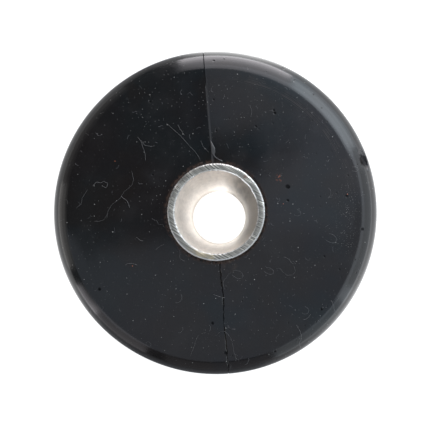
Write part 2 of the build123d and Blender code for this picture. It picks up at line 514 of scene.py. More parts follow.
# Fibres of lint on the upper end, each drawn through places in the view's axes, in millimetres from the bore
lint_fibres = [
    [(-16.1, 15.4), (-15.5, 14.8), (-15.2, 13.6), (-14.7, 12.5), (-14.4, 10.5)],
    [(-15.5, 14.7), (-14.8, 13.8), (-13.8, 13.5), (-12.6, 13.6)],
    [
        *[(-17.4, 8.3), (-17.0, 6.8), (-17.3, 5.6), (-18.9, 4.0)],
        *[(-19.6, 3.1), (-21.2, 1.7), (-22.2, 0.3), (-22.4, -1.2)],
    ],
    [(-19.5, 3.2), (-18.3, 2.4), (-17.7, 0.9)],
    [(-26.5, 4.6), (-27.5, 2.8), (-27.7, 1.7), (-28.7, 0.9)],
    [(-25.3, 5.4), (-24.6, 6.2), (-23.6, 6.0), (-23.0, 6.4), (-22.2, 5.8), (-22.5, 5.0), (-23.2, 5.3)],
    [(-7.9, 17.9), (-7.2, 16.8), (-6.5, 15.8)],
    [(-3.2, 14.6), (-2.7, 13.4), (-1.5, 12.3)],
    [(-10.2, 18.3), (-7.3, 15.6), (-5.2, 13.4), (-3.7, 11.6), (-3.2, 10.5)],
    [(-24.9, 16.4), (-24.2, 15.7), (-23.3, 16.1)],
    [(-22.2, -0.2), (-23.0, -1.6), (-24.1, -1.9), (-24.9, -1.8)],
    [(-16.3, -5.0), (-15.7, -5.7), (-14.9, -5.9)],
    [(-12.3, -7.6), (-11.3, -6.9), (-10.7, -6.6)],
    [(-18.6, -10.8), (-17.9, -10.4), (-16.9, -10.5), (-16.1, -10.8)],
    [(-13.2, -1.4), (-12.2, -1.7), (-11.8, -2.6), (-11.0, -2.4), (-10.6, -3.1)],
    [(-7.4, -8.3), (-7.4, -9.5), (-6.4, -10.1)],
    [(-3.8, -25.2), (-4.3, -27.0), (-5.3, -29.3)],
    [(-3.0, -24.7), (-2.1, -24.5)],
    [
        *[(-0.1, -25.2), (0.7, -24.5), (1.6, -24.2), (2.6, -25.0)],
        *[(3.4, -26.8), (3.6, -28.4), (4.1, -29.7), (4.7, -30.2)],
    ],
    [(2.2, -23.0), (2.9, -23.7), (4.0, -23.9)],
    [(-0.6, -16.8), (0.7, -17.3), (1.8, -17.4)],
    [(2.9, -12.3), (1.8, -13.6), (1.4, -14.6), (1.7, -15.8)],
    [(12.2, -11.5), (12.9, -11.3), (13.6, -12.2), (14.4, -12.8), (15.6, -12.8), (16.2, -12.0), (15.8, -10.9)],
    [(13.9, -9.3), (14.7, -9.5), (15.3, -10.3), (15.9, -10.6)],
    [(16.4, -22.9), (17.0, -24.2), (17.4, -25.6), (16.9, -26.6), (17.1, -27.7)],
    [(23.3, -18.0), (23.9, -19.0), (24.2, -20.2)],
    [(17.8, -21.9), (18.7, -21.5), (19.2, -20.7)],
    [(7.0, 21.8), (7.4, 20.6), (7.1, 19.5)],
]


def build_fibre(places, dice):
    """One fibre of lint, kinked a little between the places it is drawn through."""
    thickness = MM * dice.uniform(0.045, 0.075)
    kink = dice.uniform(0.12, 0.30)
    path = []
    for before, after in zip(places, places[1:]):
        for share in (0.0, 0.33, 0.67):
            x = before[0] + (after[0] - before[0]) * share + kink * (dice.random() - 0.5)
            y = before[1] + (after[1] - before[1]) * share + kink * (dice.random() - 0.5)
            path.append((x, y))
    path.append(places[-1])
    height = jacket_top + 0.01 * MM
    raised = [(on_view(x * MM, y * MM, height), thickness) for x, y in path]
    return drawn_strand("fibre", raised, 0.05 * MM, dice.uniform(0.28, 0.50))


def build_jacket():
    """The moulded jacket with its rounded rims, lip, parting line and crack."""
    jacket = drawn_outline("jacket", jacket_outline())
    rims = [(jacket_radius, jacket_top), (jacket_radius, jacket_bottom)]
    lips = [(tube_radius, jacket_top), (tube_radius, jacket_bottom)]
    round_corners(jacket, rims, jacket_corner, rim_segments)
    round_corners(jacket, lips, jacket_lip, 3)
    open_outline()
    flat_middle = (tube_radius + jacket_radius - jacket_corner) / 2
    cut_edges(jacket, lambda co: abs(co.x - flat_middle) < MM and on_skin(co), end_ring_cuts)
    cut_edges(jacket, lambda co: abs(co.z - jacket_middle) < MM and on_skin(co), side_ring_cuts)
    spin_outline(round_steps)
    refine_near_nick(jacket)
    cut_parting_line(jacket)
    shape_ends(jacket)
    mismatch_halves(jacket)
    nick_rim(jacket)
    join_to(jacket, build_flash())
    dice = random.Random(3)
    for places in lint_fibres:
        join_to(jacket, build_fibre(places, dice))
    settle(jacket, "rubber_jacket")
    return jacket


# ---- Through tube ----


def tube_outline():
    """Half section of the tube, with a groove for each circlip."""
    groove_radius = tube_radius - clip_groove_depth
    return [
        (bore_radius, tube_bottom),
        (tube_radius, tube_bottom),
        (tube_radius, lower_clip_low.z),
        (groove_radius, lower_clip_low.z),
        (groove_radius, lower_clip_high.z),
        (tube_radius, lower_clip_high.z),
        (tube_radius, upper_clip_low.z),
        (groove_radius, upper_clip_low.z),
        (groove_radius, upper_clip_high.z),
        (tube_radius, upper_clip_high.z),
        (tube_radius, tube_top),
        (bore_radius, tube_top),
    ]


def angle_from(co, direction):
    """Angle round the bore between a point and a direction, from 0 to pi."""
    turn = math.atan2(co.y, co.x) - direction
    return abs(math.remainder(turn, FULL_TURN))


def roughen_tube(tube):
    """Raises the weld bead along the bore, and leaves the sawn inner edges slightly ragged."""
    dice = random.Random(7)
    for vertex in tube.data.vertices:
        co = vertex.co
        radius = math.hypot(co.x, co.y)
        if radius > bore_radius + 1.5 * tube_inner_edge:
            continue
        away = angle_from(co, weld_angle)
        bead = weld_height * math.exp(-((away / weld_spread) ** 2))
        from_end = min(tube_top - co.z, co.z - tube_bottom)
        ragged = edge_raggedness * (dice.random() - 0.25) if from_end < 1.5 * tube_inner_edge else 0.0
        shrink = 1 - (bead + ragged) / radius
        co.x *= shrink
        co.y *= shrink


def build_burr():
    """The ragged wire of metal that the saw left along part of the inner edge."""
    dice = random.Random(5)
    path = []
    steps = 42
    for number in range(steps + 1):
        share = number / steps
        turn = burr_start + (burr_end - burr_start) * share
        radius = bore_radius + burr_width * (0.1 + 1.1 * (dice.random() - 0.5))
        lift = 0.03 * MM * dice.random()
        width = burr_width * (0.35 + 0.9 * dice.random()) * (0.25 + 0.75 * math.sin(math.pi * share) ** 0.4)
        path.append((Vector((radius * math.cos(turn), radius * math.sin(turn), tube_top + lift)), width))
    # Full paleness paints the burr near white in sawn_steel: part fresh bright metal, part painted highlight.
    return drawn_strand("burr", path, 0.12 * MM, 1.0)


def build_tube():
    """The steel tube with deburred edges, circlip grooves, a weld bead and a burr."""
    tube = drawn_outline("tube", tube_outline())
    outer_corners = [(tube_radius, tube_top), (tube_radius, tube_bottom)]
    inner_corners = [(bore_radius, tube_top), (bore_radius, tube_bottom)]
    round_corners(tube, outer_corners, tube_outer_edge, 3)
    round_corners(tube, inner_corners, tube_inner_edge, 2)
    open_outline()
    cut_edges(tube, lambda co: abs(co.x - bore_radius) < 1e-6, 36)
    spin_outline(tube_steps)
    bpy.ops.object.mode_set(mode="OBJECT")
    roughen_tube(tube)
    join_to(tube, build_burr())
    settle(tube, "through_tube")
    return tube


# ---- Wiring helpers for the finishes ----


class Wiring:
    """Adds nodes to one node tree and joins them up."""

    def __init__(self, tree):
        self.tree = tree

    def feed(self, socket, value):
        """Sets a socket to a number or colour, or links another socket to it."""
        if isinstance(value, bpy.types.NodeSocket):
            self.tree.links.new(value, socket)
        else:
            socket.default_value = value

    def add(self, kind, settings=None, sockets=None):
        """A new node with its settings made and its inputs fed."""
        node = self.tree.nodes.new("ShaderNode" + kind)
        for name, value in (settings or {}).items():
            setattr(node, name, value)
        for name, value in (sockets or {}).items():
            self.feed(node.inputs[name], value)
        return node

    def calc(self, operation, first, second=0.0, third=0.0):
        """One Math node's result."""
        settings = {"operation": operation}
        return self.add("Math", settings, {0: first, 1: second, 2: third}).outputs[0]

    def times(self, first, *others):
        """Values multiplied together."""
        for other in others:
            first = self.calc("MULTIPLY", first, other)
        return first

    def most(self, first, *others):
        """The largest of several values."""
        for other in others:
            first = self.calc("MAXIMUM", first, other)
        return first

    def reach(self, x, y):
        """How far a point is from the origin, from its two coordinates."""
        return self.calc("SQRT", self.calc("MULTIPLY_ADD", x, x, self.calc("MULTIPLY", y, y)))

    def distance(self, place, spot):
        """How far a place is from a fixed spot."""
        return self.vectors("DISTANCE", place, tuple(spot))["Value"]

    def axes(self, place):
        """A place's x, y and z."""
        return self.add("SeparateXYZ", {}, {0: place}).outputs

    def attribute(self, name):
        """A value that the mesh carries."""
        return self.add("Attribute", {"attribute_name": name}).outputs["Fac"]

    def ease(self, value, start, end):
        """0 at start and 1 at end, easing between them."""
        sockets = {"Value": value, "From Min": start, "From Max": end}
        return self.add("MapRange", {"interpolation_type": "SMOOTHSTEP"}, sockets).outputs[0]

    def span(self, value, low, high):
        """Spreads 0 to 1 over low to high."""
        return self.add("MapRange", {}, {"Value": value, "To Min": low, "To Max": high}).outputs[0]

    def tint(self, share, under, over):
        """One colour over another."""
        return self.add("Mix", {"data_type": "RGBA"}, {0: share, 6: under, 7: over}).outputs[2]

    def coat(self, under, mask, strength, over):
        """A coat of another colour, where a mask is and at a strength."""
        return self.tint(self.times(mask, strength), under, over)

    def facing(self, turn, direction, start, end):
        """1 round one direction, easing away: start and end are cosines of the angle from it."""
        return self.ease(self.calc("COSINE", self.calc("SUBTRACT", turn, direction)), start, end)

    def lines(self, travel, scale, detail):
        """Fine noise that changes in one direction only."""
        sockets = {"W": travel, "Scale": scale, "Detail": detail}
        return self.add("TexNoise", {"noise_dimensions": "1D"}, sockets).outputs[0]

    def cells(self, place, scale):
        """Scattered flat cells: distance to the middle, dice in a colour, and the middle's place."""
        sockets = {"Vector": place, "Scale": scale}
        return self.add("TexVoronoi", {"voronoi_dimensions": "2D"}, sockets).outputs

    def vectors(self, operation, first, second):
        """One Vector Math node's outputs."""
        return self.add("VectorMath", {"operation": operation}, {0: first, 1: second}).outputs

    def cloud(self, place, scale, detail=3.0, stretch=None, dimensions="3D"):
        """Soft noise over a place. A stretch divides each direction's detail."""
        if stretch:
            place = self.vectors("DIVIDE", place, stretch)[0]
        sockets = {"Vector": place, "Scale": scale, "Detail": detail}
        return self.add("TexNoise", {"noise_dimensions": dimensions}, sockets).outputs[0]

    def use(self, group, sockets):
        """A shared group placed in this tree, with its own values."""
        node = self.tree.nodes.new("ShaderNodeGroup")
        node.node_tree = group
        for name, value in sockets.items():
            self.feed(node.inputs[name], value)
        return node.outputs


def shared_group(name, inputs, outputs):
    """A new shader node group with named inputs and outputs, and its wiring."""
    tree = bpy.data.node_groups.new(name, "ShaderNodeTree")
    for label, kind, value in inputs:
        socket = tree.interface.new_socket(name=label, in_out="INPUT", socket_type="NodeSocket" + kind)
        if kind != "Vector":
            socket.default_value = value
    for label, kind in outputs:
        tree.interface.new_socket(name=label, in_out="OUTPUT", socket_type="NodeSocket" + kind)
    wiring = Wiring(tree)
    entry = tree.nodes.new("NodeGroupInput").outputs
    exit_node = tree.nodes.new("NodeGroupOutput").inputs
    return tree, wiring, entry, exit_node


def new_finish(name):
    """A new material: its wiring, its Principled shader's inputs, and its Object coordinates."""
    material = bpy.data.materials.new(name)
    material.use_nodes = True
    wiring = Wiring(material.node_tree)
    shader = material.node_tree.nodes["Principled BSDF"].inputs
    place = wiring.add("TexCoord").outputs["Object"]
    return material, wiring, shader, place


def raise_bump(wiring, shader, height, depth):
    """Feeds a height map to a shader's normal."""
    bump = wiring.add("Bump", {}, {"Strength": 1.0, "Distance": depth, "Height": height})
    wiring.feed(shader["Normal"], bump.outputs[0])


# ---- Shared effects ----


def make_specks():
    """Small round spots scattered one to a cell: dust, grit or pits."""
    inputs = [
        ("Place", "Vector", None),
        ("Spacing", "Float", 0.002),
        ("Size", "Float", 0.0001),
        ("Share", "Float", 0.5),
    ]
    tree, w, entry, leave = shared_group("specks", inputs, [("Mask", "Float"), ("Shade", "Float")])
    scale = w.calc("DIVIDE", 1.0, entry["Spacing"])
    cells = w.cells(entry["Place"], scale)
    dice = w.add("SeparateColor", {}, {0: cells["Color"]}).outputs
    reach = w.times(w.calc("DIVIDE", entry["Size"], entry["Spacing"]), w.span(dice[0], 0.45, 1.0))
    spot = w.ease(cells["Distance"], reach, w.times(reach, 0.35))
    chosen = w.calc("LESS_THAN", dice[1], entry["Share"])
    w.feed(leave["Mask"], w.times(spot, chosen))
    w.feed(leave["Shade"], dice[2])
    return tree


def fibre_cells(w, entry):
    """One fibre to a cell: the cell's dice and centre, the fibre's turn, and places along and across it."""
    scaled = w.add("VectorMath", {"operation": "SCALE"}, {0: entry["Place"]})
    w.feed(scaled.inputs["Scale"], w.calc("DIVIDE", 1.0, entry["Spacing"]))
    cells = w.cells(scaled.outputs[0], 1.0)
    dice = w.add("SeparateColor", {}, {0: cells["Color"]}).outputs
    apart = w.vectors("SUBTRACT", scaled.outputs[0], cells["Position"])[0]
    turn = w.times(dice[0], FULL_TURN)
    turned = w.add("VectorRotate", {"rotation_type": "Z_AXIS"}, {"Vector": apart, "Angle": turn}).outputs[0]
    along, across, _ = w.axes(turned)
    return dice, cells["Position"], turn, along, across


def fibre_line(w, entry, off_line):
    """1 on a fibre's middle line, easing to 0 at its edges."""
    width = w.calc("DIVIDE", entry["Thickness"], entry["Spacing"])
    return w.ease(off_line, width, w.times(width, 0.3))


fibre_inputs = [
    ("Place", "Vector", None),
    ("Spacing", "Float", 0.006),
    ("Thickness", "Float", 0.00006),
    ("Share", "Float", 0.5),
]


def make_strands():
    """Curly fibres scattered one to a cell, each with its own direction, bend, curl and length."""
    inputs = fibre_inputs + [("Length", "Float", 0.36)]
    tree, w, entry, leave = shared_group("strands", inputs, [("Mask", "Float")])
    dice, centre, turn, along, across = fibre_cells(w, entry)
    more = w.add("TexWhiteNoise", {"noise_dimensions": "2D"}, {"Vector": centre}).outputs["Color"]
    more = w.add("SeparateColor", {}, {0: more}).outputs
    bend = w.times(w.span(dice[1], -3.0, 3.0), w.times(along, along))
    curl_place = w.calc("ADD", w.times(along, w.span(more[0], 6.0, 26.0)), w.times(turn, 3.0))
    curl = w.times(w.calc("SINE", curl_place), w.span(more[1], 0.0, 0.055))
    off_line = w.calc("ABSOLUTE", w.calc("SUBTRACT", across, w.calc("ADD", bend, curl)))
    steep = w.times(w.span(dice[1], -6.0, 6.0), along)
    off_line = w.calc("DIVIDE", off_line, w.calc("SQRT", w.calc("MULTIPLY_ADD", steep, steep, 1.0)))
    line = fibre_line(w, entry, off_line)
    reach = w.times(entry["Length"], w.span(dice[2], 0.35, 1.0))
    within = w.ease(w.calc("ABSOLUTE", along), reach, w.times(reach, 0.8))
    chosen = w.calc("LESS_THAN", more[2], entry["Share"])
    faint = w.span(more[0], 0.35, 1.0)
    mask = w.times(line, within, w.times(chosen, faint))
    w.feed(leave["Mask"], mask)
    return tree


def make_hooks():
    """Fibres curled into open rings, one to a cell."""
    tree, w, entry, leave = shared_group("hooks", fibre_inputs, [("Mask", "Float")])
    dice, _, _, x, y = fibre_cells(w, entry)
    squashed = w.times(y, w.span(dice[1], 0.8, 1.8))
    distance = w.reach(x, squashed)
    swing = w.calc("ABSOLUTE", w.calc("ARCTAN2", squashed, x))
    radius = w.calc("MULTIPLY_ADD", swing, 0.03, w.span(dice[2], 0.05, 0.16))
    off_line = w.calc("ABSOLUTE", w.calc("SUBTRACT", distance, radius))
    line = fibre_line(w, entry, off_line)
    within = w.calc("LESS_THAN", swing, w.span(dice[1], 0.7, 2.6))
    chosen = w.calc("LESS_THAN", dice[0], entry["Share"])
    w.feed(leave["Mask"], w.times(line, within, chosen))
    return tree


def make_turned_lines():
    """Fine rings that a lathe leaves: round the axis on a flat face, and level on a round one."""
    inputs = [("Place", "Vector", None), ("Pitch", "Float", 0.0001), ("Wander", "Float", 0.4)]
    tree, w, entry, leave = shared_group("turned_lines", inputs, [("Height", "Float")])
    x, y, z = w.axes(entry["Place"])
    radius = w.reach(x, y)
    travel = w.calc("DIVIDE", w.calc("ADD", radius, z), entry["Pitch"])
    fine = w.lines(travel, 1.0, 4.0)
    patch = w.cloud(entry["Place"], 160.0)
    w.feed(leave["Height"], w.calc("MULTIPLY_ADD", w.calc("SUBTRACT", patch, 0.5), entry["Wander"], fine))
    return tree


def make_stain():
    """Blotches of tarnish, rust or grease."""
    inputs = [("Place", "Vector", None), ("Spacing", "Float", 0.01), ("Share", "Float", 0.3)]
    tree, w, entry, leave = shared_group("stain", inputs, [("Mask", "Float")])
    scale = w.calc("DIVIDE", 1.0, entry["Spacing"])
    broad = w.cloud(entry["Place"], scale, 5.0)
    fine = w.cloud(entry["Place"], w.times(scale, 9.0), 4.0)
    mixed = w.calc("MULTIPLY_ADD", fine, 0.35, w.times(broad, 0.65))
    edge = w.calc("SUBTRACT", 0.75, w.times(entry["Share"], 0.5))
    w.feed(leave["Mask"], w.ease(mixed, edge, w.calc("ADD", edge, 0.16)))
    return tree


specks = make_specks()
strands = make_strands()
hooks = make_hooks()
turned_lines = make_turned_lines()
stain = make_stain()


def scatter(w, place, spacing, size, share):
    """Specks over a place, their spacing and size in millimetres."""
    return w.use(specks, {"Place": place, "Spacing": spacing * MM, "Size": size * MM, "Share": share})


def lint_over(w, group, place, spacing, thickness, others):
    """Strands or hooks over a place, their spacing and thickness in millimetres."""
    sizes = {"Spacing": spacing * MM, "Thickness": thickness * MM}
    return w.use(group, {"Place": place, **sizes, **others})["Mask"]


def blotches(w, place, spacing, share):
    """Stains over a place, their spacing in millimetres."""
    return w.use(stain, {"Place": place, "Spacing": spacing * MM, "Share": share})["Mask"]


# ---- Finishes of what shows ----


def jacket_rubber():
    """Black rubber with a soft shine: cloudy bloom, pits darkened with painted shade, dust, lint, and rust
    washed out round the tube; fine rings near the rim and the flash are painted lighter as painted
    highlights.
    """
    material, w, shader, place = new_finish("jacket_rubber")
    x, y, z = w.axes(place)
    shifted = w.calc("MULTIPLY_ADD", w.calc("GREATER_THAN", z, jacket_middle), 0.3, x)
    flat = w.add("CombineXYZ", {}, {0: shifted, 1: y})
    round_place = w.times(w.calc("ARCTAN2", y, x), jacket_radius)
    wrapped = w.add("CombineXYZ", {}, {0: round_place, 1: z})
    fold_level = jacket_half_height - jacket_corner * (1 - math.sqrt(0.5))
    from_middle = w.calc("ABSOLUTE", w.calc("SUBTRACT", z, jacket_middle))
    on_end = w.calc("GREATER_THAN", from_middle, fold_level)
    skin_mix = w.add("Mix", {"data_type": "VECTOR"}, {0: on_end, 4: wrapped.outputs[0], 5: flat.outputs[0]})
    skin = skin_mix.outputs[1]
    radius = w.reach(x, y)

    bloom = w.ease(w.cloud(place, 55.0, 4.0), 0.35, 0.65)
    moved = w.vectors("ADD", skin, (0.113, 0.071, 0))[0]
    warmth = w.ease(w.cloud(moved, 75.0, 5.0), 0.40, 0.62)
    warmth = w.most(warmth, w.times(w.ease(x, 2 * MM, -8 * MM), 0.6))
    haze = w.ease(w.cloud(place, 140.0, 6.0), 0.48, 0.78)
    colour = w.tint(bloom, (0.0080, 0.0072, 0.0082, 1), (0.0062, 0.0100, 0.0118, 1))
    colour = w.coat(colour, warmth, 0.75, (0.0108, 0.0088, 0.0078, 1))
    colour = w.coat(colour, haze, 0.16, (0.035, 0.034, 0.033, 1))
    breathy = 0.0
    for across, up, size, strength in hazy_places:
        apart = w.distance(place, on_view(across * MM, up * MM, jacket_top))
        breathy = w.most(breathy, w.times(w.ease(apart, size * MM, 0), strength))
    breathy = w.times(breathy, w.span(w.ease(w.cloud(place, 520.0, 5.0), 0.36, 0.62), 0.35, 1.0))
    colour = w.coat(colour, breathy, 0.5, (0.036, 0.036, 0.037, 1))
    speckle = w.ease(w.cloud(place, 1900.0, 4.0), 0.50, 0.75)
    colour = w.coat(colour, speckle, 0.06, (0.05, 0.05, 0.05, 1))

    near_tube = w.ease(radius, tube_radius + 1.1 * MM, tube_radius + 0.05 * MM)
    rust = w.times(near_tube, w.ease(w.cloud(place, 1500.0, 5.0), 0.34, 0.68))
    rust = w.times(rust, w.span(w.ease(x, 8 * MM, -6 * MM), 0.55, 1.0))
    colour = w.coat(colour, rust, 0.7, (0.080, 0.036, 0.017, 1))

    smear = w.distance(place, (*smear_place, jacket_top))
    smear = w.times(w.ease(smear, 2.2 * MM, 0.4 * MM), w.ease(w.cloud(place, 900.0, 4.0), 0.38, 0.62))
    colour = w.coat(colour, smear, 0.8, (0.050, 0.036, 0.027, 1))

    # Fine rings painted lighter near the rim's start, on one side only: painted highlight.
    bearing = w.calc("SUBTRACT", w.calc("ARCTAN2", y, x), highlit_rings_angle)
    highlit_side = w.times(w.ease(w.calc("COSINE", bearing), 0.72, 0.95), on_end)
    wavering = w.calc("MULTIPLY_ADD", w.cloud(place, 120.0, 2.0), 0.6 * MM, radius)
    rings = w.lines(wavering, 5200.0, 3.0)
    in_band = w.times(
        w.ease(radius, highlit_rings_inner, highlit_rings_inner + highlit_rings_fade[0]),
        w.ease(radius, highlit_rings_outer, highlit_rings_outer - highlit_rings_fade[1]),
    )
    marks = w.times(highlit_side, in_band, w.ease(rings, 0.46, 0.62))
    marks = w.times(marks, w.span(w.ease(w.cloud(moved, 420.0, 4.0), 0.40, 0.60), 0.15, 1.2))
    colour = w.coat(colour, marks, 0.5, (0.050, 0.043, 0.039, 1))

    seam = w.attribute("seam_dirt")
    caked = w.times(seam, w.ease(w.cloud(place, 1300.0, 3.0), 0.3, 0.7))
    colour = w.coat(colour, caked, 0.8, (0.075, 0.066, 0.057, 1))

    large_pits = scatter(w, skin, 7.5, 0.50, 0.3)["Mask"]
    small_pits = scatter(w, moved, 2.9, 0.22, 0.45)["Mask"]
    small_pits = w.times(small_pits, w.ease(x, -3 * MM, 3 * MM))
    pits = w.most(large_pits, small_pits)
    for across, up, size in known_pits:
        apart = w.distance(place, on_view(across * MM, up * MM, jacket_top))
        pits = w.most(pits, w.ease(apart, size * MM, 0.5 * size * MM))
    # The pits are coloured near black: painted shade in the pits.
    colour = w.coat(colour, pits, 0.8, (0.003, 0.003, 0.003, 1))

    settled = w.span(w.ease(w.cloud(place, 70.0, 3.0), 0.42, 0.60), 0.25, 1.0)
    heap = w.facing(w.calc("ARCTAN2", y, x), dust_angle, 0.945, 0.995)
    heap = w.times(heap, w.times(w.ease(radius, 23 * MM, 27 * MM), w.ease(radius, 30 * MM, 28 * MM)))
    dust = scatter(w, skin, 0.85, 0.080, 0.34)
    grit = scatter(w, skin, 3.1, 0.145, 0.40)
    powder = scatter(w, moved, 0.42, 0.07, 0.55)
    dusty = w.times(dust["Mask"], w.span(dust["Shade"], 0.1, 0.9), settled)
    gritty = w.times(grit["Mask"], w.span(grit["Shade"], 0.3, 1.0))
    heaped = w.times(powder["Mask"], heap, w.span(powder["Shade"], 0.1, 1.0))
    dusty = w.most(dusty, heaped)
    colour = w.tint(w.most(dusty, gritty), colour, (0.36, 0.355, 0.33, 1))
    flakes = w.distance(place, on_view(*flakes_place, jacket_top))
    flakes = w.times(w.ease(flakes, 1.0 * MM, 0.3 * MM), w.ease(w.cloud(place, 2600.0, 2.0), 0.50, 0.60))
    colour = w.coat(colour, flakes, 0.8, (0.20, 0.065, 0.035, 1))
    orange = scatter(w, skin, 11.0, 0.17, 0.25)["Mask"]
    colour = w.coat(colour, orange, 0.8, (0.5, 0.16, 0.08, 1))

    on_upper = w.calc("GREATER_THAN", z, jacket_middle)
    long_share = w.span(on_upper, 0.4, 0.12)
    long_lint = lint_over(w, strands, skin, 11.0, 0.045, {"Share": long_share})
    short_lint = lint_over(w, strands, moved, 2.6, 0.042, {"Share": 0.22, "Length": 0.24})
    curled_lint = lint_over(w, hooks, moved, 6.5, 0.045, {"Share": 0.12})
    lint = w.most(long_lint, w.most(short_lint, curled_lint))
    colour = w.coat(colour, lint, 0.17, (0.36, 0.36, 0.37, 1))
    # Pale lint fibres keep their own colour; the flash's lighter grey is painted highlight.
    pale = w.attribute("paleness_and_painted_light")
    colour = w.tint(pale, colour, (0.27, 0.265, 0.26, 1))
    w.feed(shader["Base Color"], colour)

    grain = w.cloud(place, 4200.0, 2.0)
    scuffs = w.cloud(place, 420.0, 5.0, stretch=(1.0, 3.0, 1.0))
    sheen_break = w.calc("MULTIPLY_ADD", haze, 0.07, w.calc("MULTIPLY_ADD", scuffs, 0.06, 0.10))
    knocked = w.distance(place, nick_place())
    knocked = w.calc("MULTIPLY_ADD", w.calc("SUBTRACT", w.cloud(place, 900.0, 3.0), 0.5), 1.6 * MM, knocked)
    torn = w.ease(knocked, 1.8 * MM, 1.2 * MM)
    dulled = w.most(lint, pale, w.most(dusty, rust))
    dulled = w.most(dulled, w.times(torn, 1.8))
    w.feed(shader["Roughness"], w.calc("MULTIPLY_ADD", dulled, 0.35, sheen_break))
    hollow = w.most(w.times(torn, 0.5), w.times(pits, 0.7))
    w.feed(shader["Metallic"], hollow)
    height = w.calc("MULTIPLY_ADD", pits, -6.0, w.calc("MULTIPLY_ADD", lint, 2.0, w.times(grain, 0.5)))
    raise_bump(w, shader, w.calc("MULTIPLY_ADD", scuffs, 0.6, height), 0.008 * MM)
    return material


def sawn_steel():
    """The tube's cut end: bright steel scored by the saw's teeth in long shallow arcs, its edges and burr
    painted pale, partly as wear and partly as painted highlight.
    """
    material, w, shader, place = new_finish("sawn_steel")
    x, y, _ = w.axes(place)
    from_blade = [w.calc("SUBTRACT", value, centre) for value, centre in zip((x, y), saw_centre)]
    from_blade = w.add("CombineXYZ", {}, {0: from_blade[0], 1: from_blade[1]})
    swing = w.add("VectorMath", {"operation": "LENGTH"}, {0: from_blade.outputs[0]}).outputs["Value"]
    coarse = w.lines(swing, 4200.0, 4.0)
    patch = w.ease(w.cloud(place, 420.0, 3.0), 0.38, 0.62)
    score = w.times(w.calc("SUBTRACT", coarse, 0.5), w.span(patch, 0.4, 1.6))
    tone = w.ease(w.calc("ADD", score, 0.5), 0.36, 0.64)
    colour = w.tint(tone, (0.17, 0.165, 0.15, 1), (0.68, 0.655, 0.57, 1))
    spots = blotches(w, place, 2.4, 0.36)
    colour = w.coat(colour, spots, 0.6, (0.38, 0.28, 0.18, 1))
    radius = w.reach(x, y)
    outer_edge = w.ease(radius, tube_radius - 1.5 * tube_outer_edge, tube_radius - 0.8 * tube_outer_edge)
    turn = w.calc("ARCTAN2", y, x)
    yellow = w.facing(turn, yellow_angle, 0.92, 0.99)
    yellow = w.times(yellow, w.ease(w.cloud(place, 700.0, 3.0), 0.40, 0.60))
    colour = w.coat(colour, yellow, 0.7, (0.66, 0.56, 0.36, 1))
    spot_x = rust_spot_radius * math.cos(rust_spot_angle)
    spot_y = rust_spot_radius * math.sin(rust_spot_angle)
    spot = w.distance(place, (spot_x, spot_y, tube_top))
    spot = w.calc("MULTIPLY_ADD", w.calc("SUBTRACT", w.cloud(place, 1800.0, 3.0), 0.5), 0.9 * MM, spot)
    colour = w.coat(colour, w.ease(spot, 0.6 * MM, 0.2 * MM), 0.8, (0.26, 0.17, 0.13, 1))
    # The inner and outer edges and the burr are painted near white and made less metallic: partly wear,
    # partly painted highlight.
    inner_edge = w.ease(radius, bore_radius + 1.3 * tube_inner_edge, bore_radius + 0.6 * tube_inner_edge)
    patchy = w.span(w.ease(w.cloud(place, 1400.0, 3.0), 0.35, 0.60), 0.35, 1.0)
    burr = w.attribute("paleness_and_painted_light")
    ragged = w.most(burr, w.times(inner_edge, patchy))
    wear_and_painted_highlight = w.most(ragged, w.times(outer_edge, w.span(patchy, 0.5, 1.0)))
    colour = w.tint(wear_and_painted_highlight, colour, (0.97, 0.95, 0.90, 1))
    w.feed(shader["Base Color"], colour)
    w.feed(shader["Metallic"], w.calc("MULTIPLY_ADD", burr, -0.4, w.calc("MULTIPLY_ADD", ragged, -0.45, 1.0)))
    dulled = w.calc("MULTIPLY_ADD", spots, 0.2, w.calc("MULTIPLY_ADD", wear_and_painted_highlight, -0.08, 0.42))
    w.feed(shader["Roughness"], w.calc("MULTIPLY_ADD", tone, -0.12, dulled))
    raise_bump(w, shader, score, 0.05 * MM)
    return material


